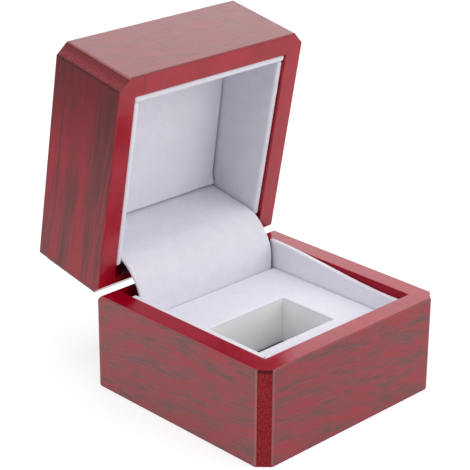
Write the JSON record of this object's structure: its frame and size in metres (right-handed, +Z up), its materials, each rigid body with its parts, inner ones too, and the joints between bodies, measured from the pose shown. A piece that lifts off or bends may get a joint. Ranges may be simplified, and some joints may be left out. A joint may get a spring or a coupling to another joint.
{
  "type": "ring display box",
  "caption": "Square hinged presentation box for a finger ring, standing open, with white flocked lining, a ring well in its deck and a lid on a spring hinge.",
  "frame": {"origin": "centre of the underside of the base, on the table", "axes": "+X right, +Y back towards the hinge, +Z up"},
  "size_m": [0.065, 0.0868, 0.0923],
  "materials": {
    "lacquer": "red lacquer with a fine orange peel, half gloss",
    "grain_foil": "dark red wood-grain foil, grain along the long side, satin",
    "flock_card": "cool white flock on card, matte nap",
    "flock_pad": "cool white flock over thin foam",
    "flap_cloth": "cool white flocked cloth, matte nap",
    "tray_card": "smooth pale grey card",
    "riser_board": "bare fibreboard",
    "pad_foam": "black velvet over foam",
    "hinge_steel": "bright zinc-plated sheet",
    "spring_steel": "polished spring strip",
    "screw_steel": "yellow-passivated steel"
  },
  "bodies": {
    "base": {"base_bottom_panel": "lacquer", "base_front_board": "lacquer", "base_back_board": "lacquer", "base_left_board": "lacquer", "base_right_board": "lacquer", "base_front_foil": "grain_foil", "base_back_foil": "grain_foil", "base_left_foil": "grain_foil", "base_right_foil": "grain_foil", "base_left_lining": "flock_card", "base_right_lining": "flock_card", "base_front_lining": "flock_card", "deck_board": "flock_card", "hinge_flap": "flap_cloth", "well_tray": "tray_card", "deck_riser_left": "riser_board", "deck_riser_right": "riser_board", "ring_pad_front": "pad_foam", "ring_pad_back": "pad_foam", "hinge_base_leaf": "hinge_steel", "hinge_pin": "hinge_steel", "hinge_spring_left": "spring_steel", "hinge_spring_right": "spring_steel", "base_hinge_screws": "screw_steel"},
    "lid": {"lid_top_panel": "lacquer", "lid_front_board": "lacquer", "lid_back_board": "lacquer", "lid_left_board": "lacquer", "lid_right_board": "lacquer", "lid_top_foil": "grain_foil", "lid_front_foil": "grain_foil", "lid_back_foil": "grain_foil", "lid_left_foil": "grain_foil", "lid_right_foil": "grain_foil", "lid_left_lining": "flock_card", "lid_right_lining": "flock_card", "lid_front_lining": "flock_card", "lid_ceiling_pad": "flock_pad", "lid_hinge_screws": "screw_steel", "hinge_lid_leaf": "hinge_steel"}
  },
  "joints": [
    {"name": "lid_hinge", "type": "hinge", "parent": "base", "child": "lid", "pos_m": [0, 0.0293, 0.0271], "axis": [1, 0, 0], "range_deg": [0, 79.6], "deforming": ["hinge_flap", "hinge_spring_left", "hinge_spring_right"]}
  ]
}
